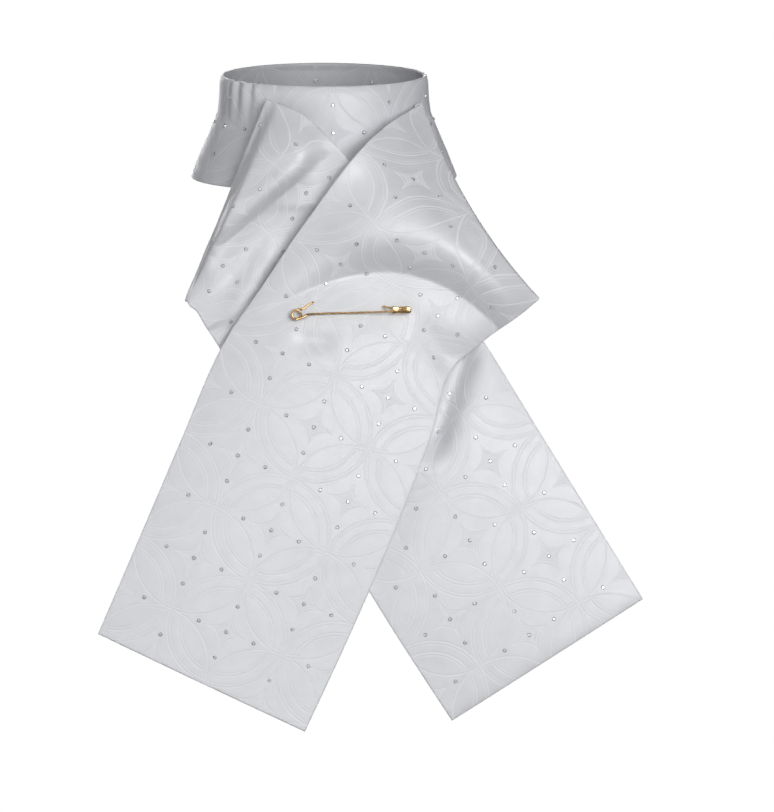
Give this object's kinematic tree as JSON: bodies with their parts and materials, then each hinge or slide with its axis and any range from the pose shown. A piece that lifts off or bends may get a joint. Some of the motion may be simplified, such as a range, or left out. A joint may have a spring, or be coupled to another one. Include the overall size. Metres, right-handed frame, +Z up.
{
  "type": "stock tie with a pin",
  "caption": "White satin jacquard stock tie set with small stones: a flared neckband with two wide tails folded over and crossed in front, held by a plain gold stock pin.",
  "frame": {"origin": "middle of the neckband's hollow, where the neck goes through, halfway up the band", "axes": "+Z up the neck, -Y towards the viewer of the tie's front, +X to that viewer's right"},
  "size_m": [0.319, 0.1725, 0.3814],
  "materials": {
    "band_satin": "white satin jacquard with a pattern of overlapping circles",
    "tail_satin": "white satin jacquard with a pattern of overlapping circles",
    "stones": "clear cut glass with a silvered back",
    "gold_wire": "polished warm gold",
    "gold_sheet": "polished warm gold"
  },
  "bodies": {
    "root": {"neckband": "band_satin", "over_tail": "tail_satin", "under_tail": "tail_satin", "pin_wire": "gold_wire", "pin_guard": "gold_sheet"}
  },
  "joints": []
}
